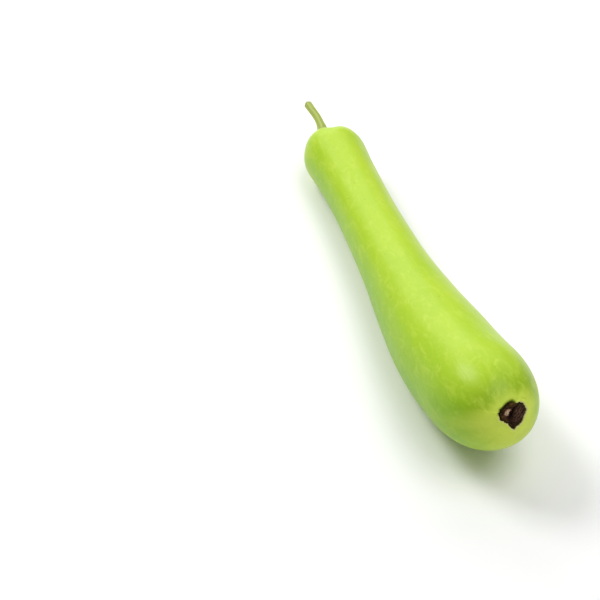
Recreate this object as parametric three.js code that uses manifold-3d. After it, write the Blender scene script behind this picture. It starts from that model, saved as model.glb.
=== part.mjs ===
// A long bottle gourd as picked, lying on its side: the stem end points to +X and the belly end to -X.
// Millimetres, +Z up. It lies on height 0, and the middle of its box is over the origin.
// The fruit is one solid. The stem stands in the puckered dimple at one end, and the dry scar of the
// flower lies in the pit at the other.

import * as THREE from "three";
import { mergeVertices } from "three/addons/utils/BufferGeometryUtils.js";
import Module from "manifold-3d";

const wasm = await Module();
wasm.setup();

// The fruit's straight axis, from the belly end to the stem end
const BELLY_END = new THREE.Vector3(-200.3, 0, 46.1);
const STEM_END = new THREE.Vector3(199.2, 0, 26);

// How the grown fruit leaves that axis: a bow, a slight S, and a belly end that turns up
const BOW = new THREE.Vector3(0, 6.5, -4.9);
const SWAY = new THREE.Vector3(0, 2.9, -1.1);
const LIFT = new THREE.Vector3(1, 4.3, 21);
const LIFT_REACH = 0.38;
const LIFT_STEEPNESS = 3;

// Radius of the fruit at every eighth of its length, before its two ends are rounded off
const RADII = [37, 37.6, 36.7, 32.2, 27.2, 24.9, 24.1, 25.7, 29.8];

// The rounded ends: how far each reaches along the fruit, and how blunt it is (2 is a plain ellipse)
const BELLY_ROUND = { reach: 0.143, bluntness: 2.42 };
const STEM_ROUND = { reach: 0.088, bluntness: 2 };

// The pit that the flower left, and the lip of skin round it
const PIT_DEPTH = 2.6;
const PIT_RADIUS = 9.6;
const PIT_WALL = 2.6;
const LIP_HEIGHT = 0.5;
const LIP_WIDTH = 5;

// The dimple round the stem
const DIMPLE_DEPTH = 3.6;
const DIMPLE_RADIUS = 8;

// The furrows that run out of the dimple, as [angle, depth], and the shoulder lobes between them. They
// open at a radius from start to deepest, and have died out at their reach along the fruit.
const FURROWS = [
  [5, 3.2],
  [80, 2.8],
  [152, 2.2],
  [-138, 2],
  [-82, 1.2],
];
const FURROW_WIDTH = 18;
const FURROW_START = 3;
const FURROW_DEEPEST = 9;
const FURROW_REACH = 34;
const LOBE_HEIGHT = 0.8;

// The fruit lies on two flat spots, where its weight has pressed it
const FLAT_DEPTH = 0.8;
const FLOOR_WIDTH = 600;
const FLOOR_THICKNESS = 40;

// The stem: its route from inside the dimple to the cut, its ridges and its flared foot
const STEM_ROUTE = [
  [190, 0.6, 24.9],
  [199, 0.2, 26.4],
  [212.4, -1.6, 29.6],
  [226.8, -2.6, 30.4],
  [240, -2.1, 30.4],
  [254, -1.8, 29.5],
];
const STEM_RADIUS = 3.3;
const STEM_FOOT = { radius: 6.4, start: 0.12, end: 0.65 };
const STEM_TIP = { swell: 0.25, start: 0.75 };
const STEM_RIDGES = 5;
const STEM_RIDGE_HEIGHT = 0.1;
const STEM_TWIST = 0.5;
const STEM_CUT_ROUND = 0.5;
const STEM_CUT_SLANT = 0.2;

// The scar's torn outline as [angle, radius] all round, which the pit round it repeats
const SCAR_RADIUS = 8.4;
const SCAR_OUTLINE = [
  [-186, 9.4],
  [-153, 6.3],
  [-126, 6.9],
  [-94, 9.2],
  [-65, 9.4],
  [-51, 7.8],
  [-22, 7.4],
  [-3, 8.5],
  [12, 7.2],
  [23, 9.7],
  [67, 10.2],
  [107, 7.1],
  [135, 7.6],
  [174, 9.4],
  [207, 6.3],
];

// The scar's section as [share of its radius, depth below the pole] from its middle outwards: a low
// plug, a groove round that, a torn rim and a root
const SCAR_RIM_WAVES = [
  { count: 4, size: 0.3, turn: 30 },
  { count: 9, size: 0.3, turn: 10 },
];
const SCAR_ROOT = 6;
const SCAR_PROFILE = [
  [0, 1],
  [0.18, 0.8],
  [0.36, 0.9],
  [0.52, 1.5],
  [0.68, 1.6],
  [0.84, 0.8],
  [0.94, 0.5],
  [1, 1.2],
  [1, 3.4],
  [0.6, SCAR_ROOT],
  [0, SCAR_ROOT],
];

// Clearance between the fruit and what grew on it
const GAP = 0.4;

// How finely the surfaces are divided
const FRUIT_SIDES = 48;
const BELLY_ROUND_RINGS = 20;
const STEM_ROUND_RINGS = 18;
const BODY_RINGS = 20;
const POLE_CROWDING = 1.4;
const STEM_SIDES = 20;
const STEM_RINGS = 20;
const SCAR_SIDES = 36;
const MERGE_DISTANCE = 1e-4;

const UP = new THREE.Vector3(0, 0, 1);
const S_CURVE_PEAK = 10.4;

// The curved middle line of the fruit, from its belly end at 0 to its stem end at 1.
class MiddleLine extends THREE.Curve {
  getPoint(share, target = new THREE.Vector3()) {
    const arc = 4 * share * (1 - share);
    const wave = S_CURVE_PEAK * share * (1 - share) * (1 - 2 * share);
    const turnUp = Math.pow(Math.max(0, 1 - share / LIFT_REACH), LIFT_STEEPNESS);
    target.lerpVectors(BELLY_END, STEM_END, share);
    target.addScaledVector(BOW, arc);
    target.addScaledVector(SWAY, wave);
    target.addScaledVector(LIFT, turnUp);
    return target;
  }
}

// Drops the triangles that a pole or a seam has squeezed to nothing.
function withoutSlivers(geometry) {
  const index = geometry.getIndex().array;
  const kept = [];
  for (let i = 0; i < index.length; i += 3) {
    const [a, b, c] = [index[i], index[i + 1], index[i + 2]];
    if (a !== b && b !== c && c !== a) {
      kept.push(a, b, c);
    }
  }
  geometry.setIndex(kept);
  return geometry;
}

// A closed turned form: points are [radius, distance along its axis], from one pole to the other.
function turned(points, sides) {
  const profile = points.map(([radius, along]) => new THREE.Vector2(radius, along));
  const lathe = new THREE.LatheGeometry(profile, sides);
  lathe.deleteAttribute("normal");
  lathe.deleteAttribute("uv");
  const geometry = withoutSlivers(mergeVertices(lathe, MERGE_DISTANCE));
  geometry.computeVertexNormals();
  return geometry;
}

// Lays a turned form along a path. Each point keeps its distance and its angle round the axis, where
// angle 0 is up and a quarter turn is towards -Y on a path that runs to +X. A form that is longer than
// its path goes straight on at the path's ends.
function laidAlong(geometry, path, length) {
  const points = geometry.getAttribute("position");
  const place = new THREE.Vector3();
  for (let i = 0; i < points.count; i += 1) {
    const share = THREE.MathUtils.clamp(points.getY(i) / length, 0, 1);
    const tangent = path.getTangent(share);
    const side = new THREE.Vector3().crossVectors(tangent, UP).normalize();
    const top = new THREE.Vector3().crossVectors(side, tangent);
    path.getPoint(share, place);
    place.addScaledVector(tangent, points.getY(i) - share * length);
    place.addScaledVector(side, points.getX(i));
    place.addScaledVector(top, points.getZ(i));
    points.setXYZ(i, place.x, place.y, place.z);
  }
  return geometry;
}

// Moves each point of a turned form by what height(radius, along, angle) gives, out along the surface.
function raised(geometry, height) {
  const points = geometry.getAttribute("position");
  const normals = geometry.getAttribute("normal");
  const point = new THREE.Vector3();
  const normal = new THREE.Vector3();
  for (let i = 0; i < points.count; i += 1) {
    point.fromBufferAttribute(points, i);
    normal.fromBufferAttribute(normals, i);
    const radius = Math.hypot(point.x, point.z);
    const angle = Math.atan2(point.x, point.z);
    point.addScaledVector(normal, height(radius, point.y, angle));
    points.setXYZ(i, point.x, point.y, point.z);
  }
  return geometry;
}

// Stretches a turned form away from its axis and shifts it along it, by what change(radius, along, angle)
// gives for each point.
function reshaped(geometry, change) {
  const points = geometry.getAttribute("position");
  for (let i = 0; i < points.count; i += 1) {
    const [x, y, z] = [points.getX(i), points.getY(i), points.getZ(i)];
    const { stretch, shift } = change(Math.hypot(x, z), y, Math.atan2(x, z));
    points.setXYZ(i, x * stretch, y + shift, z * stretch);
  }
  return geometry;
}

function toSolid(geometry) {
  const vertProperties = Float32Array.from(geometry.getAttribute("position").array);
  const triVerts = Uint32Array.from(geometry.getIndex().array);
  return new wasm.Manifold(new wasm.Mesh({ numProp: 3, vertProperties, triVerts }));
}

function toGeometry(solid) {
  const mesh = solid.getMesh();
  const geometry = new THREE.BufferGeometry();
  geometry.setAttribute("position", new THREE.BufferAttribute(mesh.vertProperties, 3));
  geometry.setIndex(new THREE.BufferAttribute(mesh.triVerts, 1));
  geometry.computeVertexNormals();
  return geometry;
}

// A sum of waves round a circle, for ragged outlines.
function waves(list, angle) {
  return list.reduce((sum, { count, size, turn }) => {
    return sum + size * Math.cos(count * (angle - THREE.MathUtils.degToRad(turn)));
  }, 0);
}

// Share of the full radius at a share of the rounded end, and the other way round.
function roundedRadius(reached, bluntness) {
  const inside = 1 - Math.min(reached, 1);
  return Math.pow(1 - Math.pow(inside, bluntness), 1 / bluntness);
}

function roundedReach(radius, bluntness) {
  return 1 - Math.pow(1 - Math.pow(radius, bluntness), 1 / bluntness);
}

// Shares of a rounded end at which rings are set, close together near the pole.
function roundedSteps(rings, bluntness) {
  return Array.from({ length: rings }, (_, i) => {
    return roundedReach(Math.sin(Math.pow(i / rings, POLE_CROWDING) * (Math.PI / 2)), bluntness);
  });
}

// The fruit's outline as a body of revolution
function fruitOutline(length) {
  const girth = new THREE.SplineCurve(RADII.map((radius, i) => new THREE.Vector2(i, radius)));
  const bodyLength = 1 - BELLY_ROUND.reach - STEM_ROUND.reach;
  const bodySteps = Array.from({ length: BODY_RINGS }, (_, i) => i / BODY_RINGS);
  const bellySteps = roundedSteps(BELLY_ROUND_RINGS, BELLY_ROUND.bluntness);
  const stemSteps = roundedSteps(STEM_ROUND_RINGS + 1, STEM_ROUND.bluntness).reverse();
  const shares = [
    ...bellySteps.map((step) => step * BELLY_ROUND.reach),
    ...bodySteps.map((step) => BELLY_ROUND.reach + step * bodyLength),
    ...stemSteps.map((step) => 1 - step * STEM_ROUND.reach),
  ];
  return shares.map((share) => {
    const bellyEnd = roundedRadius(share / BELLY_ROUND.reach, BELLY_ROUND.bluntness);
    const stemEnd = roundedRadius((1 - share) / STEM_ROUND.reach, STEM_ROUND.bluntness);
    return [girth.getPoint(share).y * bellyEnd * stemEnd, share * length];
  });
}

// The scar's outline as a share of its radius, at an angle round the pole
function scarOutline(angle) {
  const turn = THREE.MathUtils.radToDeg(angle);
  const after = SCAR_OUTLINE.findIndex(([corner]) => corner > turn);
  const [corner, radius] = SCAR_OUTLINE[after - 1];
  const [nextCorner, nextRadius] = SCAR_OUTLINE[after];
  const share = (turn - corner) / (nextCorner - corner);
  return THREE.MathUtils.lerp(radius, nextRadius, share) / SCAR_RADIUS;
}

// Height of the ragged pit and its lip at a distance from the belly end's pole
function pitRelief(radius, angle) {
  const distance = radius / scarOutline(angle);
  const wall = 1 - THREE.MathUtils.smoothstep(distance, PIT_RADIUS - PIT_WALL, PIT_RADIUS);
  const lip = Math.exp(-Math.pow((distance - PIT_RADIUS) / (LIP_WIDTH / 2), 2));
  return LIP_HEIGHT * lip - PIT_DEPTH * wall;
}

// Height of the dimple, the furrows and the lobes between them, at a radius and a distance from the pole
function shoulderRelief(radius, fromPole, angle) {
  const dimple = 1 - THREE.MathUtils.smoothstep(radius, 0, DIMPLE_RADIUS);
  const depth = FURROWS.reduce((sum, [turn, deepest]) => {
    const away = THREE.MathUtils.euclideanModulo(THREE.MathUtils.radToDeg(angle) - turn + 180, 360) - 180;
    return sum + deepest * Math.exp(-Math.pow(away / FURROW_WIDTH, 2));
  }, 0);
  const opens = THREE.MathUtils.smoothstep(radius, FURROW_START, FURROW_DEEPEST);
  const fades = 1 - THREE.MathUtils.smoothstep(fromPole, 0, FURROW_REACH);
  return (LOBE_HEIGHT - depth) * opens * fades - DIMPLE_DEPTH * dimple;
}

// The whole fruit, with its surface moved out by a clearance, before it is laid flat
function fruitSolid(clearance) {
  const length = BELLY_END.distanceTo(STEM_END);
  const form = raised(turned(fruitOutline(length), FRUIT_SIDES), (radius, along, angle) => {
    if (along < BELLY_ROUND.reach * length) {
      return clearance + pitRelief(radius, angle);
    }
    if (along > (1 - STEM_ROUND.reach) * length) {
      return clearance + shoulderRelief(radius, length - along, angle);
    }
    return clearance;
  });
  return toSolid(laidAlong(form, new MiddleLine(), length));
}

// The fruit, cut level where it lies, so that both flat spots are at height 0
function makeFruit() {
  const floor = new THREE.BoxGeometry(FLOOR_WIDTH, FLOOR_WIDTH, FLOOR_THICKNESS);
  floor.translate(0, 0, FLAT_DEPTH - FLOOR_THICKNESS / 2);
  floor.deleteAttribute("normal");
  floor.deleteAttribute("uv");
  return fruitSolid(0).subtract(toSolid(mergeVertices(floor)));
}

// The stalk: flared at its foot, five-angled, and cut a little aslant at its tip
function makeStem(fruitSpace) {
  const route = new THREE.CatmullRomCurve3(STEM_ROUTE.map((p) => new THREE.Vector3(...p)));
  const length = route.getLength();
  const rings = Array.from({ length: STEM_RINGS }, (_, i) => {
    const share = i / STEM_RINGS;
    const foot = 1 - THREE.MathUtils.smoothstep(share, STEM_FOOT.start, STEM_FOOT.end);
    const tip = THREE.MathUtils.smoothstep(share, STEM_TIP.start, 1);
    const radius = STEM_RADIUS + (STEM_FOOT.radius - STEM_RADIUS) * foot * foot + STEM_TIP.swell * tip;
    return [radius, share * length];
  });
  const tipRadius = STEM_RADIUS + STEM_TIP.swell;
  const cut = [[tipRadius, length - STEM_CUT_ROUND], [tipRadius - STEM_CUT_ROUND, length], [0, length]];
  const form = reshaped(turned([[0, 0], ...rings, ...cut], STEM_SIDES), (radius, along, angle) => {
    const share = along / length;
    const stretch = 1 + STEM_RIDGE_HEIGHT * Math.cos(STEM_RIDGES * (angle + STEM_TWIST * share));
    return { stretch, shift: STEM_CUT_SLANT * radius * Math.cos(angle) * share };
  });
  return toSolid(laidAlong(form, route, length)).subtract(fruitSpace);
}

// The dry scar, set on the pole of the belly end and trimmed to the pit that it lies in
function makeScar(fruitSpace) {
  const middle = new MiddleLine();
  const pole = middle.getPoint(0);
  const root = pole.clone().addScaledVector(middle.getTangent(0), SCAR_ROOT);
  const profile = SCAR_PROFILE.map(([share, depth]) => [share * SCAR_RADIUS, depth]);
  const form = reshaped(turned(profile, SCAR_SIDES), (radius, depth, angle) => {
    const torn = waves(SCAR_RIM_WAVES, angle) * Math.pow(radius / SCAR_RADIUS, 2);
    return { stretch: scarOutline(angle), shift: torn };
  });
  return toSolid(laidAlong(form, new THREE.LineCurve3(pole, root), SCAR_ROOT)).subtract(fruitSpace);
}

function piece(name, solid, color, roughness) {
  const material = new THREE.MeshStandardMaterial({ color, roughness, metalness: 0 });
  const mesh = new THREE.Mesh(toGeometry(solid), material);
  mesh.name = name;
  return mesh;
}

const fruitSpace = fruitSolid(GAP);
const gourd = new THREE.Group();
gourd.add(piece("fruit", makeFruit(), 0xb4db48, 0.35));
gourd.add(piece("stem", makeStem(fruitSpace), 0xb1c35f, 0.55));
gourd.add(piece("blossom_scar", makeScar(fruitSpace), 0x413023, 0.85));

const box = new THREE.Box3().setFromObject(gourd);
const middle = box.getCenter(new THREE.Vector3());
gourd.position.set(-middle.x, -middle.y, -box.min.z);

export default gourd;
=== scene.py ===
"""A long bottle gourd lying on a pale floor: its fruit, its cut stem and its dry flower scar."""

import math
from itertools import pairwise

import bpy
import numpy as np
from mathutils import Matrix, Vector, noise


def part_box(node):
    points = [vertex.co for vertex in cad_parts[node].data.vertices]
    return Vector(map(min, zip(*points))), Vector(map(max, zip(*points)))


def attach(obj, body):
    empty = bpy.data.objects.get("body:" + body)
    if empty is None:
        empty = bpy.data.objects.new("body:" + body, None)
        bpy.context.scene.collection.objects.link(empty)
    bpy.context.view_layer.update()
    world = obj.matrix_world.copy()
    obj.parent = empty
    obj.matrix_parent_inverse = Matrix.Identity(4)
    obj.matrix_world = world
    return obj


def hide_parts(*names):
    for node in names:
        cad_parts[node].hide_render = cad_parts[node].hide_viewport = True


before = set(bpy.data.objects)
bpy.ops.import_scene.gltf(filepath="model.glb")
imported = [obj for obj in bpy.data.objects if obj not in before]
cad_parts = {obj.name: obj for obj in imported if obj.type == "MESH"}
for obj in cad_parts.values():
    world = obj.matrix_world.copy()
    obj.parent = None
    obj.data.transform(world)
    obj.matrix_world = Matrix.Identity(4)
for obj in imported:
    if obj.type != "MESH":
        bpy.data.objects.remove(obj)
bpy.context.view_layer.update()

bl_info = {
    "name": "Bottle Gourd",
    "version": (1, 0, 0),
    "blender": (4, 5, 0),
    "location": "3D View > Sidebar > Gourd",
    "description": "Models a long bottle gourd with its stem and flower scar, and the studio round it",
    "category": "Add Mesh",
}

# Metres, +Z up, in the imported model's frame. The fruit's straight axis, from the belly end to the stem end
BELLY_END = np.array([-0.22581, -0.00702, 0.0453])
STEM_END = np.array([0.17369, -0.00702, 0.0252])

# How the grown fruit leaves that axis: a bow, a slight S, and a belly end that turns up
BOW = np.array([0, 0.0065, -0.0049])
SWAY = np.array([0, 0.0029, -0.0011])
LIFT = np.array([0.001, 0.0043, 0.021])
LIFT_REACH = 0.38
LIFT_STEEPNESS = 3
S_CURVE_PEAK = 10.4

# The rounded ends: how far each reaches along the fruit, and how blunt it is (2 is a plain ellipse)
BELLY_ROUND_REACH = 0.143
BELLY_ROUND_BLUNTNESS = 2.42
STEM_ROUND_REACH = 0.088
STEM_ROUND_BLUNTNESS = 2

# The stem's route, from inside the dimple to the cut
STEM_ROUTE = np.array([
    [0.16449, -0.00642, 0.0241],
    [0.17349, -0.00682, 0.0256],
    [0.18689, -0.00862, 0.0288],
    [0.20129, -0.00962, 0.0296],
    [0.21449, -0.00912, 0.0296],
    [0.22849, -0.00882, 0.0287],
])

# Where on that route the stem begins, hidden in the dimple, and how far from its end its edge is rounded
STEM_ROOT = 0.0062
STEM_EDGE = 0.0012

# The scar's torn outline as [angle in degrees, radius], which the pit round it repeats
SCAR_OUTLINE = [
    [-100, 0.0081],
    [-71, 0.0086],
    [-62, 0.0076],
    [-52, 0.0081],
    [-42, 0.0073],
    [-18, 0.0076],
    [-2, 0.0081],
    [13, 0.0084],
    [32, 0.0077],
    [42, 0.0095],
    [62, 0.0105],
    [70, 0.0101],
    [82, 0.0105],
    [109, 0.0080],
    [134, 0.0081],
    [151, 0.0079],
    [168, 0.0080],
    [177, 0.0093],
    [219, 0.0056],
    [254, 0.0067],
]
SCAR_RADIUS = 0.0084
SCAR_THICKNESS = 0.004
FIBRE_SPACING = 0.0018

# Places round the fruit, in degrees: up is 0, and positive turns go towards -Y
# The flank where shade is painted into the skin as a deeper green
SHADED_FLANK_TURN = -98
OVER_SCAR = -10
UNDER_SCAR = -160
WHOLE_LIP = -24

# The pit's wall: its width where the lip is torn, and how much wider it is where the lip is whole
PIT_WALL = 0.0008
WHOLE_LIP_WALL = 0.0026

# What rises or sinks round the pit, as (height, distance from its rim, width)
TORN_LIP = (0.0004, 0.0007, 0.0008)
SWELL = (0.0005, 0.0016, 0.0030)
FOLD = (-0.00028, 0.0027, 0.00045)
PIT_WRINKLES = (0.00012, 0.002, 0.003)

# The band of painted shade over the scar, from the scar's middle, and the paler ring, from the pit's rim;
# under the scar the ring reaches further as painted bounce light
SHADE_BAND_DISTANCE = 0.0215
SHADE_BAND_SPREAD = 0.0085
RING_START = 0.003
RING_REACH = 0.012
# How much further the ring reaches under the scar, as painted bounce light
BOUNCE_LIGHT_REACH = 0.028

# The dimple's radius, the wrinkles round it as (height, radius, width), and how deep each furrow's crease is
DIMPLE_RADIUS = 0.008
DIMPLE_WRINKLES = (0.00012, 0.009, 0.006)
CREASE_DEPTH = 0.0007

# Height of the slow unevenness of the whole skin
UNEVENNESS = 0.00035

# The stem's ridges: their twist along it in radians, how sharp and deep they are, and how much deeper at
# its foot
RIDGE_TWIST = 0.5
RIDGE_SHARPNESS = 1.6
RIDGE_DEPTH = 0.14
FOOT_RIDGE_DEPTH = 0.22
BARK_UNEVENNESS = 0.018
CUT_SLANT = 0.2

# The furrows that run out of the stem's dimple, as [angle in degrees, depth]
FURROWS = [[5, 0.0032], [80, 0.0028], [152, 0.0022], [-138, 0.0020], [-82, 0.0012]]
FURROW_WIDTH = math.radians(18)
FURROW_REACH = 0.034

# How finely the forms are divided before they are subdivided
FRUIT_SIDES = 48
STEM_SIDES = 30
SCAR_SIDES = 48
BELLY_ROUND_RINGS = 34
BODY_RINGS = 24
STEM_ROUND_RINGS = 26
STEM_RINGS = 26
ROUTE_SAMPLES = 400
POLE_CROWDING = 1.5
POLE_RADIUS = 0.0004
SUBDIVISIONS = 2

# The soft lamps: azimuth and elevation in degrees, side in metres and share of the light. Most of the
# light comes from behind, and the gourd's upper side mirrors it as a broad sheen along its length.
LAMP_DISTANCE = 2.4
LAMPS = [
    ("back_lamp", 0, 30, 1.6, 0.19),
    ("back_left_lamp", 43, 49, 0.95, 0.34),
    ("back_right_lamp", -45, 45, 1.6, 0.11),
    ("front_lamp", 180, 52, 2.2, 0.12),
    ("top_lamp", -135, 70, 1.6, 0.24),
]

UP = np.array([0.0, 0.0, 1.0])
TANGENT_STEP = 1e-4
FIT_TOLERANCE = 0.003


def colour_setting(name, description, default):
    return bpy.props.FloatVectorProperty(
        name=name, description=description, size=3, default=default, subtype="COLOR"
    )


def length_setting(name, description, default):
    return bpy.props.FloatProperty(
        name=name, description=description, default=default, precision=4, unit="LENGTH"
    )


class FruitSettings(bpy.types.PropertyGroup):
    """Sizes and colours of the fruit"""

    girth: bpy.props.FloatVectorProperty(
        name="Girth",
        description="Radius at every eighth of the length, before the ends are rounded off",
        size=9,
        default=(0.037, 0.0376, 0.0367, 0.0322, 0.0272, 0.0249, 0.0241, 0.0257, 0.0298),
        precision=4,
        unit="LENGTH",
    )
    pit_depth: length_setting("Pit Depth", "Depth of the pit that the flower left", 0.0026)
    pit_radius: length_setting("Pit Radius", "Radius of the pit at its rim", 0.0089)
    dimple_depth: length_setting("Dimple Depth", "Depth of the dimple that the stem stands in", 0.0036)
    lobe_height: length_setting("Lobe Height", "How far the shoulder swells between the furrows", 0.0008)
    skin: colour_setting("Skin", "Main yellow-green of the skin", (0.44, 0.63, 0.032))
    skin_deep: colour_setting("Deep Skin", "Greener cloud in the skin", (0.34, 0.56, 0.018))
    # Painted shade: a deeper green that stands for the shade on one flank
    flank_shade: colour_setting("Flank Shade", "Greener skin on one flank", (0.19, 0.44, 0.006))
    skin_pale: colour_setting("Pale Skin", "Paler flecks in the skin", (0.55, 0.70, 0.08))
    # Partly a real paler ring round the scar, and partly painted bounce light where it reaches over the
    # lower belly
    ring: colour_setting("Ring", "Wide paler ring round the flower scar", (0.67, 0.79, 0.10))
    torn: colour_setting("Torn Lip", "Cream edge where the skin is torn", (0.66, 0.65, 0.25))
    # Painted shade: the darker band where the belly end turns away from the light
    collar: colour_setting("Shade Band", "Darker band over the flower scar", (0.24, 0.40, 0.010))
    scuff: colour_setting("Scuffs", "Pale thin scuffs", (0.62, 0.74, 0.16))
    speck: colour_setting("Specks", "Few small dark specks", (0.20, 0.30, 0.02))
    fold: colour_setting("Fold", "Thin broken line round the torn lip", (0.33, 0.33, 0.08))
    # Painted shadow: a dark soft edge where the whole lip curls into the pit
    pit_wall_shadow: colour_setting("Pit Wall Shadow", "Dark soft edge where the lip isn't torn", (0.10, 0.14, 0.015))
    # Painted shade: the dark bottom of the furrows
    crease: colour_setting("Crease", "Dark bottom of the furrows at the stem", (0.10, 0.17, 0.015))


class StemSettings(bpy.types.PropertyGroup):
    """Sizes and colours of the stem"""

    radius: length_setting("Radius", "Radius of the stem at half its length", 0.0033)
    foot_radius: length_setting("Foot Radius", "Radius of its flared foot", 0.0058)
    ridges: bpy.props.IntProperty(
        name="Ridges",
        description="Ridges that run along the stem",
        default=5,
        min=3,
    )
    bark: colour_setting("Bark", "Dull yellow-green of the stem", (0.36, 0.43, 0.075))
    # Painted shade in the grooves; the same colour also makes the stalk's own darker streaks
    groove: colour_setting("Groove", "Darker green between the ridges", (0.29, 0.37, 0.06))
    # Painted highlight along the ridges; the same colour also makes the stalk's own paler blotches
    ridge: colour_setting("Ridge", "Paler line along each ridge", (0.42, 0.49, 0.11))
    pith: colour_setting("Pith", "Pale middle of the cut", (0.55, 0.50, 0.28))
    dry: colour_setting("Dry Tip", "Brown patches where the stem dries near its cut", (0.22, 0.17, 0.06))
    cut: colour_setting("Cut Rim", "Brown rim of the cut", (0.20, 0.15, 0.06))


class ScarSettings(bpy.types.PropertyGroup):
    """Sizes and colours of the flower scar"""

    radius: length_setting("Radius", "Mean radius of the dry scar", SCAR_RADIUS)
    cork: colour_setting("Cork", "Very dark brown of the dry tissue", (0.030, 0.011, 0.004))
    fibre: colour_setting("Fibre", "Lighter brown of its fibres", (0.15, 0.084, 0.056))
    fleck: colour_setting("Fleck", "Tan of the broken style", (0.60, 0.42, 0.26))
    fleck_edge: colour_setting("Fleck Edge", "Pinkish brown round the broken style", (0.22, 0.11, 0.07))
    moss: colour_setting("Moss", "Dark olive patches near the edge", (0.045, 0.040, 0.004))
    lump: colour_setting("Lumps", "Rust brown of the crumbled lumps", (0.14, 0.070, 0.016))
    # Painted shade: the near black at the bottom of the split
    split: colour_setting("Split", "Nearly black bottom of the split", (0.012, 0.004, 0.002))


class StudioSettings(bpy.types.PropertyGroup):
    """The camera, the floor and the light"""

    azimuth: bpy.props.FloatProperty(
        name="Azimuth",
        description="Way that the camera looks, from +Y towards -X",
        default=math.radians(252.54),
        subtype="ANGLE",
    )
    elevation: bpy.props.FloatProperty(
        name="Elevation",
        description="How far the camera looks down",
        default=math.radians(40.14),
        subtype="ANGLE",
    )
    distance: bpy.props.FloatProperty(
        name="Distance",
        description="From the camera to the point that it looks at",
        default=1.051,
        unit="LENGTH",
    )
    aim: bpy.props.FloatVectorProperty(
        name="Aim",
        description="Point that the camera looks at",
        size=3,
        default=(-0.0319, 0.0805, 0.03),
        subtype="XYZ",
        unit="LENGTH",
    )
    lens: bpy.props.FloatProperty(
        name="Lens",
        description="Focal length of the camera in millimetres",
        default=84,
    )
    floor_size: bpy.props.FloatProperty(
        name="Floor Size",
        description="Side of the square floor",
        default=8,
        unit="LENGTH",
    )
    sky: bpy.props.FloatProperty(
        name="Sky",
        description="Strength of the even light from all round",
        default=0.16,
    )
    lamps: bpy.props.FloatProperty(
        name="Lamps",
        description="Strength of all the soft lamps together in watts",
        default=90,
    )


class Wire:
    """A value in a material. Python's operators on it add the Math nodes."""

    def __init__(self, recipe, socket):
        self.recipe = recipe
        self.socket = socket

    def math(self, operation, first, second):
        return self.recipe.node("Math", {"operation": operation}, {0: first, 1: second})

    def __add__(self, other):
        return self.math("ADD", self, other)

    def __radd__(self, other):
        return self.math("ADD", other, self)

    def __sub__(self, other):
        return self.math("SUBTRACT", self, other)

    def __rsub__(self, other):
        return self.math("SUBTRACT", other, self)

    def __mul__(self, other):
        return self.math("MULTIPLY", self, other)

    def rising(self, low, high):
        """0 below low and 1 above high, with a smooth rise between them"""
        ends = {"Value": self, "From Min": low, "From Max": high}
        return self.recipe.node("MapRange", {"interpolation_type": "SMOOTHSTEP"}, ends)

    def falling(self, low, high):
        """1 below low and 0 above high"""
        return 1 - self.rising(low, high)


class Recipe:
    """A material's nodes, with one method that adds a node of any kind"""

    def __init__(self, name, **constants):
        self.material = bpy.data.materials.new(name)
        self.material.use_nodes = True
        self.tree = self.material.node_tree
        self.shader = self.tree.nodes["Principled BSDF"]
        for socket, value in constants.items():
            self.shader.inputs[socket.replace("_", " ")].default_value = value

    def node(self, kind, settings=None, inputs=None, output=0):
        made = self.tree.nodes.new("ShaderNode" + kind)
        for name, value in (settings or {}).items():
            setattr(made, name, value)
        for socket, value in (inputs or {}).items():
            if isinstance(value, Wire):
                self.tree.links.new(value.socket, made.inputs[socket])
            else:
                made.inputs[socket].default_value = value
        return Wire(self, made.outputs[output])

    def place(self, scale=(1, 1, 1)):
        """The place on the object, in metres, drawn out along an axis where its scale is small"""
        here = self.node("TexCoord", output="Object")
        return self.node("Mapping", {}, {"Vector": here, "Scale": scale})

    def grain(self, place, scale, detail=2, roughness=0.5, distortion=0):
        """Smooth noise from 0 to 1 with about scale waves in a metre"""
        inputs = {
            "Vector": place,
            "Scale": scale,
            "Detail": detail,
            "Roughness": roughness,
            "Distortion": distortion,
        }
        return self.node("TexNoise", {}, inputs)

    def painted(self, name):
        """A value that the mesh holds at each point"""
        return self.node("Attribute", {"attribute_name": name}, output="Fac")

    def blend(self, factor, first, second):
        """The first colour where the factor is 0, and the second where it is 1"""
        colours = {"Factor": factor, 6: as_colour(first), 7: as_colour(second)}
        return self.node("Mix", {"data_type": "RGBA"}, colours, output=2)

    def layered(self, colour, *layers):
        """A colour under layers, each of them how much there is of it, and its own colour"""
        for factor, over in layers:
            colour = self.blend(factor, colour, over)
        return colour

    def drive(self, socket, wire):
        self.tree.links.new(wire.socket, self.shader.inputs[socket])

    def bumps(self, height, distance, under=None):
        """A normal from a height between 0 and 1, where 1 stands for that distance"""
        inputs = {"Height": height, "Distance": distance, "Strength": 1.0}
        if under is not None:
            inputs["Normal"] = under
        return self.node("Bump", {}, inputs)


def as_colour(value):
    return value if isinstance(value, Wire) else (*value, 1.0)


def deselect():
    if bpy.context.object and bpy.context.object.mode != "OBJECT":
        bpy.ops.object.mode_set(mode="OBJECT")
    bpy.ops.object.select_all(action="DESELECT")


def smooth(value, low, high):
    """0 below low and 1 above high, with a smooth rise between them"""
    share = np.clip((value - low) / (high - low), 0, 1)
    return share * share * (3 - 2 * share)


def hump(value, middle, width):
    """1 at the middle, and a smooth fall to 0 on both sides of it"""
    return np.exp(-(((value - middle) / width) ** 2))


def rim_height(outwards, rim):
    """Height of a rim at a distance outwards, where the rim is (height, distance, width)"""
    height, middle, width = rim
    return height * hump(outwards, middle, width)


def apart(angle, turn):
    """How far an angle is from a turn in degrees, the short way round"""
    return np.abs((angle - math.radians(turn) + math.pi) % (2 * math.pi) - math.pi)


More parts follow.
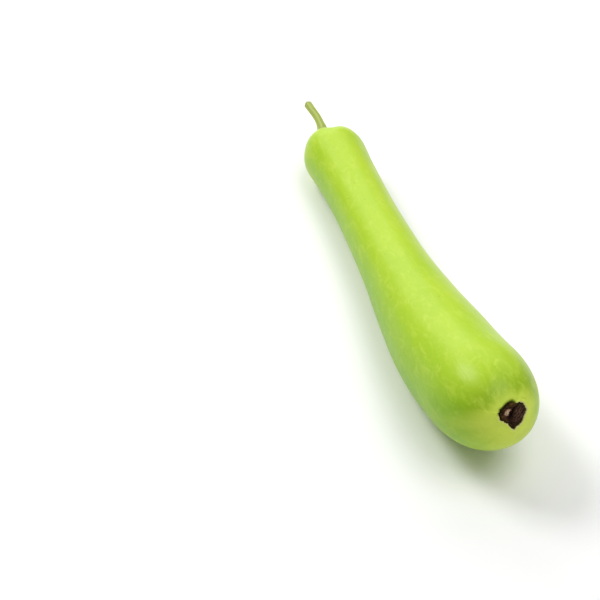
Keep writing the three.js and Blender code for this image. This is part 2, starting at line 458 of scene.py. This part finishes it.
def near(angle, turn, inner, outer):
    """1 within inner degrees of a turn, and 0 further than outer degrees from it"""
    return 1 - smooth(apart(angle, turn), math.radians(inner), math.radians(outer))


def around(angle, scale, seed, other=0.0):
    """Noise round a circle, from about -1 to 1. It has more waves where the scale is larger."""
    other = np.broadcast_to(other, np.shape(angle))
    points = zip(np.cos(angle) * scale, np.sin(angle) * scale, other + seed)
    return np.array([noise.noise(point) for point in points])


def torn_outline(angle):
    """The scar's outline as a share of its radius"""
    turns, radii = np.array(SCAR_OUTLINE).T
    outline = np.interp(angle, np.radians(turns), radii, period=2 * math.pi) / SCAR_RADIUS
    return outline + 0.02 * around(angle, 5.0, 4.0) + 0.05 * around(angle, 13.0, 9.0)


def through(values, share):
    """A smooth curve through evenly spaced values"""
    values = np.asarray(values, float)
    last = len(values) - 1
    at = np.clip(share, 0, 1) * last
    first = np.minimum(at.astype(int), last - 1)
    t = (at - first).reshape(-1, *[1] * (values.ndim - 1))
    before, here = values[np.maximum(first - 1, 0)], values[first]
    after, beyond = values[first + 1], values[np.minimum(first + 2, last)]
    slope_here, slope_after = (after - before) / 2, (beyond - here) / 2
    cubic = 2 * here - 2 * after + slope_here + slope_after
    square = 3 * after - 3 * here - 2 * slope_here - slope_after
    return ((cubic * t + square) * t + slope_here) * t + here


def middle_line(share):
    """The fruit's middle, from its belly end at 0 to its stem end at 1"""
    share = share[:, None]
    arc = 4 * share * (1 - share)
    wave = S_CURVE_PEAK * share * (1 - share) * (1 - 2 * share)
    turn_up = np.maximum(0, 1 - share / LIFT_REACH) ** LIFT_STEEPNESS
    straight = BELLY_END + (STEM_END - BELLY_END) * share
    return straight + BOW * arc + SWAY * wave + LIFT * turn_up


def even_route(points):
    """A path through the points at an even pace, and its length"""
    route = through(points, np.linspace(0, 1, ROUTE_SAMPLES))
    steps = np.linalg.norm(np.diff(route, axis=0), axis=1)
    reached = np.concatenate([[0], np.cumsum(steps)])

    def path(share):
        return np.stack([np.interp(share * reached[-1], reached, route[:, i]) for i in range(3)], axis=1)

    return path, reached[-1]


def unit(vectors):
    return vectors / np.linalg.norm(vectors, axis=1, keepdims=True)


def laid_along(points, path, length):
    """Lays a straight form along a path. Past the path's ends it goes straight on."""
    share = np.clip(points[:, 0] / length, 0, 1)
    ahead = path(np.minimum(share + TANGENT_STEP, 1))
    behind = path(np.maximum(share - TANGENT_STEP, 0))
    tangent = unit(ahead - behind)
    side = unit(np.cross(tangent, UP))
    top = np.cross(side, tangent)
    past = points[:, 0] - share * length
    return path(share) + tangent * past[:, None] - side * points[:, 1:2] + top * points[:, 2:3]


def turned_form(name, stations, sides):
    """Models a closed turned form along +X, through stations of [distance, radius] from pole to pole"""
    rounder = 3 / (2 + math.cos(2 * math.pi / sides))
    deselect()
    bpy.ops.mesh.primitive_circle_add(
        vertices=sides,
        radius=stations[0][1],
        fill_type="TRIFAN",
        location=(stations[0][0], 0, 0),
        rotation=(0, math.radians(-90), 0),
    )
    piece = bpy.context.active_object
    piece.name = piece.data.name = name
    bpy.ops.object.transform_apply(location=True, rotation=True, scale=True)
    bpy.ops.object.mode_set(mode="EDIT")
    bpy.ops.mesh.select_mode(type="EDGE")
    bpy.ops.mesh.select_all(action="DESELECT")
    bpy.ops.mesh.select_non_manifold(extend=False)
    for (x, radius), (next_x, next_radius) in pairwise(stations):
        bpy.ops.mesh.extrude_region_move(TRANSFORM_OT_translate={"value": (next_x - x, 0, 0)})
        growth = next_radius / radius
        bpy.ops.transform.resize(value=(1, growth, growth), center_override=(next_x, 0, 0))
    bpy.ops.mesh.edge_face_add()
    bpy.ops.mesh.select_mode(type="FACE")
    bpy.ops.mesh.poke()
    bpy.ops.mesh.select_all(action="SELECT")
    bpy.ops.transform.resize(value=(1, rounder, rounder), center_override=(0, 0, 0))
    bpy.ops.mesh.normals_make_consistent(inside=False)
    bpy.ops.object.mode_set(mode="OBJECT")
    bpy.ops.object.shade_smooth()
    divide = piece.modifiers.new("Divide", "SUBSURF")
    divide.levels = divide.render_levels = SUBDIVISIONS
    bpy.ops.object.modifier_apply(modifier=divide.name)
    return piece


def form_points(piece):
    """Places and normals of a straight form's points, and each one's radius and angle round the axis"""
    count = len(piece.data.vertices)
    places = np.empty(count * 3, np.float32)
    normals = np.empty(count * 3, np.float32)
    piece.data.vertices.foreach_get("co", places)
    piece.data.vertices.foreach_get("normal", normals)
    places = places.reshape(-1, 3).astype(float)
    normals = normals.reshape(-1, 3).astype(float)
    radius = np.hypot(places[:, 1], places[:, 2])
    angle = np.arctan2(-places[:, 1], places[:, 2])
    return places, normals, radius, angle


def move_points(piece, places):
    piece.data.vertices.foreach_set("co", places.astype(np.float32).ravel())
    piece.data.update()


def paint(piece, **layers):
    """Stores named values at each point, for the piece's material"""
    for name, values in layers.items():
        layer = piece.data.attributes.new(name, "FLOAT", "POINT")
        layer.data.foreach_set("value", np.asarray(values, np.float32))


def check_fit(piece, node):
    """Stops where a piece has left the box of the solid that it stands for"""
    places = form_points(piece)[0]
    low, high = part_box(node)
    below = np.array(low) - places.min(axis=0)
    above = places.max(axis=0) - np.array(high)
    if max(*below, *above) > FIT_TOLERANCE:
        raise RuntimeError(f"{piece.name} leaves the box of {node} by {below.round(4)}, {above.round(4)} m")


def hand_over(piece, node, material):
    """Gives a finished piece its material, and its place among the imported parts"""
    piece.data.materials.clear()
    piece.data.materials.append(material)
    check_fit(piece, node)
    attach(piece, "root")
    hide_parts(node)


def rounded_radius(reached, bluntness):
    """Share of the full radius at a share of a rounded end"""
    inside = 1 - min(reached, 1)
    return (1 - inside**bluntness) ** (1 / bluntness)


def rounded_steps(rings, bluntness):
    """Shares of a rounded end at which rings are set, close together near the pole"""
    radii = [math.sin((i / rings) ** POLE_CROWDING * math.pi / 2) for i in range(rings)]
    return [1 - (1 - radius**bluntness) ** (1 / bluntness) for radius in radii]


def fruit_stations(girth, length):
    """The fruit's outline as [distance, radius], before its pit, dimple and furrows"""
    belly = [step * BELLY_ROUND_REACH for step in rounded_steps(BELLY_ROUND_RINGS, BELLY_ROUND_BLUNTNESS)]
    body_length = 1 - BELLY_ROUND_REACH - STEM_ROUND_REACH
    body = [BELLY_ROUND_REACH + i / BODY_RINGS * body_length for i in range(BODY_RINGS)]
    stem = [1 - step * STEM_ROUND_REACH for step in rounded_steps(STEM_ROUND_RINGS, STEM_ROUND_BLUNTNESS)]
    stations = []
    for share in [*belly, *body, 1 - STEM_ROUND_REACH, *reversed(stem)]:
        belly_end = rounded_radius(share / BELLY_ROUND_REACH, BELLY_ROUND_BLUNTNESS)
        stem_end = rounded_radius((1 - share) / STEM_ROUND_REACH, STEM_ROUND_BLUNTNESS)
        radius = through(girth, np.array([share]))[0] * belly_end * stem_end
        stations.append([share * length, max(radius, POLE_RADIUS)])
    return stations


def pit_relief(settings, radius, angle):
    """Height of the torn pit and what lies round it, the distance from it and how torn its lip is"""
    distance = radius / torn_outline(angle)
    crisp = 1 - near(angle, WHOLE_LIP, 34, 62)
    wall = PIT_WALL + WHOLE_LIP_WALL * (1 - crisp)
    outwards = distance - settings.pit_radius
    inside = 1 - smooth(outwards, -PIT_WALL, wall - PIT_WALL)
    lip = rim_height(outwards, TORN_LIP) * crisp
    swell = rim_height(outwards, SWELL)
    broken = smooth(around(angle, 4.0, 21.0), -0.25, 0.1)
    fold = rim_height(outwards, FOLD) * broken * crisp
    wrinkles = rim_height(outwards, PIT_WRINKLES) * around(angle, 14.0, 2.0, radius * 150)
    return -settings.pit_depth * inside + lip + swell + fold + wrinkles, distance, crisp


def shoulder_relief(settings, radius, from_pole, angle):
    """Height of the dimple round the stem and its furrows, with how deep in a furrow each point is"""
    dimple = 1 - smooth(radius, 0, DIMPLE_RADIUS)
    wander = angle + 0.08 * around(angle, 1.5, 7.0, radius * 60)
    depth = sum(deep * hump(apart(wander, turn), 0, FURROW_WIDTH) for turn, deep in FURROWS)
    line = sum(deep * hump(apart(wander, turn), 0, FURROW_WIDTH / 4) for turn, deep in FURROWS)
    reach = smooth(radius, 0.003, 0.009) * (1 - smooth(from_pole, 0, FURROW_REACH))
    crease = line / FURROWS[0][1] * smooth(radius, 0.004, 0.007) * (1 - smooth(radius, 0.009, 0.021))
    wrinkles = rim_height(radius, DIMPLE_WRINKLES) * around(angle, 9.0, 3.0, radius * 120)
    height = (settings.lobe_height - depth) * reach - settings.dimple_depth * dimple
    height += wrinkles - CREASE_DEPTH * crease
    return height, depth * reach / FURROWS[0][1], crease


def make_fruit(settings):
    length = float(np.linalg.norm(STEM_END - BELLY_END))
    fruit = turned_form("gourd_fruit", fruit_stations(list(settings.girth), length), FRUIT_SIDES)
    places, normals, radius, angle = form_points(fruit)
    share = places[:, 0] / length
    at_belly = share < BELLY_ROUND_REACH
    at_stem = share > 1 - STEM_ROUND_REACH
    height = np.zeros(len(places))
    distance = np.ones(len(places))
    crisp = np.zeros(len(places))
    furrow = np.zeros(len(places))
    crease = np.zeros(len(places))
    height[at_belly], distance[at_belly], crisp[at_belly] = pit_relief(
        settings, radius[at_belly], angle[at_belly]
    )
    height[at_stem], furrow[at_stem], crease[at_stem] = shoulder_relief(
        settings, radius[at_stem], length - places[at_stem, 0], angle[at_stem]
    )
    unevenness = [noise.noise((x * 22, y * 34, z * 34)) for x, y, z in places]
    height += UNEVENNESS * np.array(unevenness) * smooth(radius, 0.010, 0.022)
    places = laid_along(places + normals * height[:, None], middle_line, length)
    places[:, 2] = np.maximum(places[:, 2], 0)
    move_points(fruit, places)
    # Painted shade on one flank, fading out towards the head
    flank = hump(apart(angle, SHADED_FLANK_TURN), 0, math.radians(45)) * smooth(radius, 0.010, 0.030)
    rim = settings.pit_radius
    # The paler ring, which reaches further under the scar as painted bounce light, and is weaker over it
    lower = near(angle, UNDER_SCAR, 50, 105)
    ring = 1 - smooth(distance, rim + RING_START, rim + RING_REACH + BOUNCE_LIGHT_REACH * lower)
    paint(
        fruit,
        scar_distance=distance,
        crispness=crisp,
        furrow=furrow,
        crease=crease,
        greener=flank * (1 - 0.8 * smooth(share, 0.84, 0.97)),
        # Painted shade in a band over the scar
        collar=hump(distance, SHADE_BAND_DISTANCE, SHADE_BAND_SPREAD) * near(angle, OVER_SCAR, 60, 110),
        ring=ring * (1 - 0.5 * hump(apart(angle, OVER_SCAR), 0, math.radians(50))),
    )
    return fruit


def skin_material(settings, rim, cork):
    """Smooth waxy skin: clouds and pale flecks in the green, a pale ring and a torn edge at the scar, with
    painted shade on one flank, over the scar, on the pit's soft wall and in the furrows, and painted bounce
    light in the ring under the scar
    """
    recipe = Recipe(
        "gourd_skin",
        Specular_IOR_Level=0.21,
        Subsurface_Weight=0.1,
        Subsurface_Scale=0.004,
    )
    recipe.shader.inputs["Subsurface Radius"].default_value = (1.0, 1.0, 0.3)
    even = recipe.place()
    along = recipe.place((0.5, 1, 1))
    drawn_out = recipe.place((0.12, 1, 1))
    clouds = recipe.grain(along, 28, detail=3, roughness=0.55).rising(0.38, 0.66)
    patches = recipe.grain(along, 150, detail=4, roughness=0.65, distortion=0.8).rising(0.47, 0.72)
    flecks = recipe.grain(even, 480, detail=3, roughness=0.6).rising(0.54, 0.74)
    streaks = recipe.grain(drawn_out, 420, detail=2).rising(0.56, 0.80)
    scuffs = recipe.grain(drawn_out, 1100, detail=1).rising(0.70, 0.80)
    scuffs = scuffs * recipe.grain(even, 60, detail=1).rising(0.52, 0.62)
    specks = recipe.grain(even, 300, detail=0).rising(0.82, 0.87)
    # Painted shade on one flank, where the pale mottling is also calmer
    greener = recipe.painted("greener")
    mottled = 1 - greener * 0.5
    distance = recipe.painted("scar_distance")
    crisp = recipe.painted("crispness")
    ring = recipe.painted("ring")
    torn = distance.falling(rim + 0.0004, rim + 0.0012) * crisp
    fold = distance.rising(rim + 0.0020, rim + 0.0026) * distance.falling(rim + 0.0027, rim + 0.0034)
    # Painted shadow on the soft pit wall where the lip is whole
    pit_wall_shadow = distance.falling(rim + 0.0002, rim + 0.0024) * (1 - crisp)
    hole = distance.falling(rim - 0.0003, rim + 0.0002)
    colour = recipe.layered(
        settings.skin,
        (greener * 0.9, settings.flank_shade),
        (recipe.painted("collar") * 0.7, settings.collar),
        (clouds * 0.5, settings.skin_deep),
        (patches * mottled * 0.52, settings.skin_pale),
        (streaks * mottled * 0.26, settings.skin_pale),
        (flecks * mottled * 0.26, settings.skin_pale),
        (scuffs * 0.6, settings.scuff),
        (specks * 0.3, settings.speck),
        (ring * 0.8, settings.ring),
        (torn * 0.85, settings.torn),
        (fold * crisp * flecks.rising(0.2, 0.6) * 0.4, settings.fold),
        (pit_wall_shadow * 0.8, settings.pit_wall_shadow),
        (hole, cork),
        # Painted shade: deeper green in the furrows, and darker still in their creases
        (recipe.painted("furrow") * 0.35, settings.skin_deep),
        (recipe.painted("crease") * 0.6, settings.crease),
    )
    recipe.drive("Base Color", colour)
    recipe.drive("Roughness", 0.33 + patches * 0.06 + scuffs * 0.1 + ring * 0.14 + hole * 0.4)
    waviness = recipe.bumps(recipe.grain(along, 90, detail=2), 0.0006)
    pores = recipe.grain(even, 900, detail=2)
    recipe.drive("Normal", recipe.bumps(pores, 0.00008, waviness))
    return recipe.material


class AddFruit(bpy.types.Operator):
    """Models the whole fruit, with the flower's pit at one end and the stem's dimple at the other"""

    bl_idname = "gourd.add_fruit"
    bl_label = "Add Fruit"

    def execute(self, context):
        settings = context.scene.gourd_fruit
        fruit = make_fruit(settings)
        skin = skin_material(settings, settings.pit_radius, context.scene.gourd_scar.cork)
        hand_over(fruit, "fruit", skin)
        return {"FINISHED"}


def stem_stations(settings, length):
    """The stem's outline as [distance, radius]: a flared foot, an even shank and a cut with a low rim"""
    stations = [[STEM_ROOT, POLE_RADIUS]]
    for i in range(STEM_RINGS + 1):
        share = (STEM_ROOT + i / STEM_RINGS * (length - STEM_ROOT)) / length
        foot = float(1 - smooth(share, 0.12, 0.65)) ** 2
        tip = float(smooth(share, 0.75, 1))
        radius = settings.radius + (settings.foot_radius - settings.radius) * foot + 0.00025 * tip
        stations.append([share * (length - STEM_EDGE), radius])
    edge = settings.radius
    stations += [[length, edge * 0.86], [length, edge * 0.74], [length - 0.0004, edge * 0.62]]
    stations += [[length - 0.0005, edge * 0.35], [length - 0.0004, POLE_RADIUS]]
    return stations


def make_stem(settings):
    path, length = even_route(STEM_ROUTE)
    stem = turned_form("gourd_stem", stem_stations(settings, length), STEM_SIDES)
    places, normals, radius, angle = form_points(stem)
    share = places[:, 0] / length
    ridge = 0.5 + 0.5 * np.cos(settings.ridges * (angle + RIDGE_TWIST * share))
    sharp = ridge**RIDGE_SHARPNESS
    foot = 1 - smooth(share, 0.16, 0.40)
    stretch = 1 + RIDGE_DEPTH * (sharp - 0.5) + FOOT_RIDGE_DEPTH * (sharp - 0.3) * foot
    stretch += BARK_UNEVENNESS * around(angle, 7.0, 5.0, share * 4)
    places[:, 1:] *= stretch[:, None]
    places[:, 0] += CUT_SLANT * radius * np.cos(angle) * share
    move_points(stem, laid_along(places, path, length))
    paint(stem, ridge=ridge, along=share, from_axis=radius / settings.radius)
    return stem


def stem_material(settings):
    """Tough green stalk: a painted highlight along its ridges, painted shade in its grooves, fine streaks,
    and a brown-rimmed cut with pale pith
    """
    recipe = Recipe("gourd_stem", Specular_IOR_Level=0.4)
    drawn_out = recipe.place((0.08, 1, 1))
    even = recipe.place()
    ridge = recipe.painted("ridge")
    along = recipe.painted("along")
    from_axis = recipe.painted("from_axis")
    streaks = recipe.grain(drawn_out, 1500, detail=3, roughness=0.6)
    blotches = recipe.grain(even, 260, detail=2)
    dry = along.rising(0.90, 0.99) * blotches.rising(0.2, 0.6)
    cut = along.rising(0.985, 0.992)
    colour = recipe.layered(
        settings.bark,
        # Painted shade between the ridges and a painted highlight along them
        (ridge.falling(0.1, 0.55) * 0.7, settings.groove),
        (ridge.rising(0.75, 0.99) * 0.5, settings.ridge),
        (streaks.rising(0.5, 0.75) * 0.45, settings.groove),
        (blotches.rising(0.5, 0.72) * 0.35, settings.ridge),
        (dry * 0.55, settings.dry),
        (cut, settings.cut),
        (cut * from_axis.falling(0.62, 0.80), settings.pith),
    )
    recipe.drive("Base Color", colour)
    recipe.drive("Roughness", 0.45 + streaks * 0.15 + cut * 0.25)
    recipe.drive("Normal", recipe.bumps(streaks, 0.00018))
    return recipe.material


class AddStem(bpy.types.Operator):
    """Models the cut, five-angled stem with its flared foot"""

    bl_idname = "gourd.add_stem"
    bl_label = "Add Stem"

    def execute(self, context):
        settings = context.scene.gourd_stem
        hand_over(make_stem(settings), "stem", stem_material(settings))
        return {"FINISHED"}


# The scar's section, as [share of its radius, depth below the pole]: from its middle outwards over its
# level top and its edge, and back underneath
SCAR_SECTION = [
    *[[0.05 + 0.08 * i, 0.0014] for i in range(8)],
    [0.69, 0.0013],
    [0.77, 0.0011],
    [0.85, 0.0009],
    [0.93, 0.0008],
    [0.98, 0.0009],
    [1.00, 0.0014],
    [0.98, 0.0024],
    [0.80, 0.0036],
    [0.40, 0.0040],
    [0.05, 0.0040],
]


# The heaps and the split in the scar's plane: middle, turn in degrees, length and width
SCAR_HEAPS = {
    "pad": ((0.0048, 0.0002), 60, 0.0074, 0.0042),
    "style": ((-0.0033, 0.0024), 50, 0.0024, 0.0020),
    "tail": ((-0.0008, 0.0037), 15, 0.0024, 0.0012),
    "split": ((0.0003, 0.0010), 60, 0.0046, 0.0012),
    "lower_lump": ((-0.0050, -0.0012), 130, 0.0040, 0.0022),
    "upper_lump": ((0.0006, 0.0066), 20, 0.0040, 0.0014),
}


def mound(across, up, middle, turn, length, width):
    """A rounded heap in the scar's plane, drawn out along a turn in degrees"""
    lean = math.radians(turn)
    across, up = across - middle[0], up - middle[1]
    lengthwise = across * math.cos(lean) + up * math.sin(lean)
    sideways = up * math.cos(lean) - across * math.sin(lean)
    return np.exp(-((lengthwise / length) ** 2) - (sideways / width) ** 2)


def scar_relief(across, up):
    """Height of the dry tissue, and how much each point is on its fibres, broken style, split and lumps"""
    shift = 0.0006 * np.array([noise.noise((x * 250, y * 250, 5.0)) for x, y in zip(across, up)])
    fibre = np.sin((across - up) / math.sqrt(2) * 2 * math.pi / FIBRE_SPACING + shift * 4000) * 0.5 + 0.5
    crumbs = np.array([noise.fractal((x * 420, y * 420, 3.0), 0.6, 2.0, 3) for x, y in zip(across, up)])
    heap = {name: mound(across, up, *where) for name, where in SCAR_HEAPS.items()}
    pad, style, tail, split = (heap[name] for name in ("pad", "style", "tail", "split"))
    lumps = (heap["lower_lump"] + heap["upper_lump"]) * (0.4 + 1.5 * np.abs(crumbs))
    height = 0.0014 * pad + 0.0016 * style + 0.0007 * tail + 0.0009 * lumps - 0.0018 * split
    height += 0.0006 * pad * fibre + 0.0013 * crumbs
    return height, pad * (0.4 + 0.6 * fibre), style + 0.48 * tail, split, lumps


def make_scar(settings):
    stations = [[depth, share * settings.radius] for share, depth in SCAR_SECTION]
    scar = turned_form("gourd_scar", stations, SCAR_SIDES)
    places, normals, radius, angle = form_points(scar)
    share = radius / settings.radius
    above = 1 - smooth(places[:, 0], 0.0018, 0.0030)
    places[:, 1:] *= torn_outline(angle)[:, None]
    relief, fibre, fleck, split, lumps = scar_relief(-places[:, 1], places[:, 2])
    curl = 0.0007 * around(angle, 5.0, 8.0) * smooth(share, 0.6, 1.0)
    places[:, 0] -= (relief + curl) * above
    inward = middle_line(np.array([0, TANGENT_STEP]))
    ends = np.array([inward[0], inward[0] + unit(inward[1:] - inward[:1])[0] * SCAR_THICKNESS])

    def straight(share):
        return ends[0] + (ends[1] - ends[0]) * share[:, None]

    move_points(scar, laid_along(places, straight, SCAR_THICKNESS))
    edge = smooth(share, 0.7, 1.0)
    paint(scar, fibre=fibre, fleck=fleck * above, split=split * above, lumps=lumps * above, rim=edge)
    return scar


def scar_material(settings):
    """Dry corky remnant: very dark, with lighter fibres, a tan fleck where the style broke off, and painted
    shade in the bottom of its split
    """
    recipe = Recipe("dry_scar", Specular_IOR_Level=0.12)
    even = recipe.place()
    crumbs = recipe.grain(even, 1400, detail=3, roughness=0.65)
    blotches = recipe.grain(even, 500, detail=2)
    mossy = recipe.painted("rim") * blotches.rising(0.3, 0.6)
    fleck = recipe.painted("fleck") + (crumbs - 0.5) * 0.5
    colour = recipe.layered(
        settings.cork,
        (recipe.painted("fibre").rising(0.2, 0.85) * 0.8, settings.fibre),
        (crumbs.rising(0.5, 0.7) * 0.6, settings.fibre),
        (mossy * 0.5, settings.moss),
        (recipe.painted("lumps").rising(0.3, 0.8) * 0.8, settings.lump),
        # Painted shade at the bottom of the split
        (recipe.painted("split").rising(0.2, 0.7), settings.split),
        (fleck.rising(0.25, 0.45) * 0.7, settings.fleck_edge),
        (fleck.rising(0.50, 0.70), settings.fleck),
    )
    recipe.drive("Base Color", colour)
    recipe.drive("Roughness", 0.7 + crumbs * 0.25)
    recipe.drive("Normal", recipe.bumps(crumbs, 0.0007))
    return recipe.material


class AddScar(bpy.types.Operator):
    """Models the dry, ragged flower scar that lies in the pit"""

    bl_idname = "gourd.add_scar"
    bl_label = "Add Scar"

    def execute(self, context):
        settings = context.scene.gourd_scar
        hand_over(make_scar(settings), "blossom_scar", scar_material(settings))
        return {"FINISHED"}


def add_floor(size):
    deselect()
    bpy.ops.mesh.primitive_plane_add(size=size, location=(0, 0, 0))
    floor = bpy.context.active_object
    floor.name = "floor"
    recipe = Recipe("white_floor", Roughness=0.9, Specular_IOR_Level=0.1)
    recipe.shader.inputs["Base Color"].default_value = (0.93, 0.93, 0.93, 1)
    floor.data.materials.append(recipe.material)


def add_lamp(name, azimuth, elevation, size, power):
    """Hangs a square soft lamp that points at the gourd. Azimuth 0 is over +X, and 90 over +Y."""
    turn, rise = math.radians(azimuth), math.radians(elevation)
    out = Vector((math.cos(rise) * math.cos(turn), math.cos(rise) * math.sin(turn), math.sin(rise)))
    deselect()
    bpy.ops.object.light_add(type="AREA", location=out * LAMP_DISTANCE)
    lamp = bpy.context.active_object
    lamp.name = name
    lamp.data.size = size
    lamp.data.energy = power
    lamp.rotation_euler = out.to_track_quat("Z", "Y").to_euler()


def light_sky(strength):
    world = bpy.data.worlds.new("studio")
    bpy.context.scene.world = world
    world.use_nodes = True
    sky = world.node_tree.nodes["Background"]
    sky.inputs["Color"].default_value = (1, 1, 1, 1)
    sky.inputs["Strength"].default_value = strength


def add_camera(settings):
    flat = math.cos(settings.elevation)
    back = Vector((
        math.sin(settings.azimuth) * flat,
        -math.cos(settings.azimuth) * flat,
        math.sin(settings.elevation),
    ))
    deselect()
    bpy.ops.object.camera_add(location=Vector(settings.aim) + back * settings.distance)
    camera = bpy.context.active_object
    camera.name = "photo_camera"
    camera.rotation_euler = (-back).to_track_quat("-Z", "Y").to_euler()
    camera.data.lens = settings.lens
    camera.data.sensor_width = 36
    bpy.context.scene.camera = camera


class SetUpStudio(bpy.types.Operator):
    """Lays the pale floor, hangs the soft light and sets the camera"""

    bl_idname = "gourd.set_up_studio"
    bl_label = "Set Up Studio"

    def execute(self, context):
        settings = context.scene.gourd_studio
        add_floor(settings.floor_size)
        light_sky(settings.sky)
        for name, azimuth, elevation, size, share in LAMPS:
            add_lamp(name, azimuth, elevation, size, share * settings.lamps)
        add_camera(settings)
        context.scene.view_settings.view_transform = "Standard"
        return {"FINISHED"}


class GourdPanel(bpy.types.Panel):
    """Lists the gourd's pieces and the studio"""

    bl_idname = "VIEW3D_PT_gourd"
    bl_label = "Bottle Gourd"
    bl_space_type = "VIEW_3D"
    bl_region_type = "UI"
    bl_category = "Gourd"

    def draw(self, context):
        groups = [
            (AddFruit, context.scene.gourd_fruit),
            (AddStem, context.scene.gourd_stem),
            (AddScar, context.scene.gourd_scar),
            (SetUpStudio, context.scene.gourd_studio),
        ]
        for operator, settings in groups:
            box = self.layout.box()
            for name in settings.__annotations__:
                box.prop(settings, name)
            box.operator(operator.bl_idname)


SETTINGS = {
    "gourd_fruit": FruitSettings,
    "gourd_stem": StemSettings,
    "gourd_scar": ScarSettings,
    "gourd_studio": StudioSettings,
}
CLASSES = [*SETTINGS.values(), AddFruit, AddStem, AddScar, SetUpStudio, GourdPanel]


def register():
    for made in CLASSES:
        bpy.utils.register_class(made)
    for name, group in SETTINGS.items():
        setattr(bpy.types.Scene, name, bpy.props.PointerProperty(type=group))


def unregister():
    for name in SETTINGS:
        delattr(bpy.types.Scene, name)
    for made in reversed(CLASSES):
        bpy.utils.unregister_class(made)


def main():
    register()
    bpy.ops.gourd.add_fruit()
    bpy.ops.gourd.add_stem()
    bpy.ops.gourd.add_scar()
    bpy.ops.gourd.set_up_studio()


if __name__ == "__main__":
    main()
